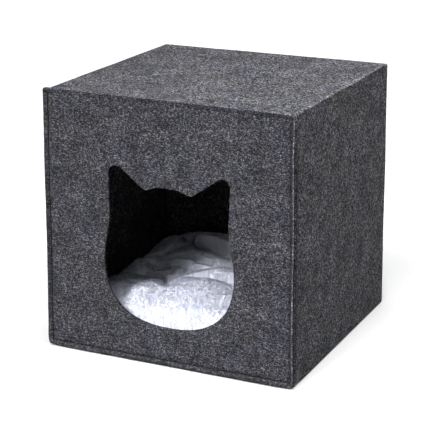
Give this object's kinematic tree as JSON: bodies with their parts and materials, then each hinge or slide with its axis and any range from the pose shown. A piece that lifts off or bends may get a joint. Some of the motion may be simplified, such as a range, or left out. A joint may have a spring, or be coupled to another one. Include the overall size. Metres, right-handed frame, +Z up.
{
  "type": "felt cat cave",
  "caption": "Cube-shaped cat cave of stiff dark felt with a cat-head entrance in its front and a loose white plush cushion filling the floor.",
  "frame": {"origin": "on the floor, under the middle of the outline", "axes": "+Z up, -Y out of the entrance, +X towards the side that is on the right when one looks into the entrance"},
  "size_m": [0.3345, 0.325, 0.3318],
  "materials": {
    "front_felt": "matt charcoal felt with light and dark fibres mixed through it",
    "wall_felt": "matt charcoal felt with light and dark fibres mixed through it, brushed along the walls",
    "plush": "short soft white pile"
  },
  "bodies": {
    "root": {"front_panel": "front_felt", "wall_band": "wall_felt", "back_panel": "wall_felt", "cushion": "plush"}
  },
  "joints": []
}
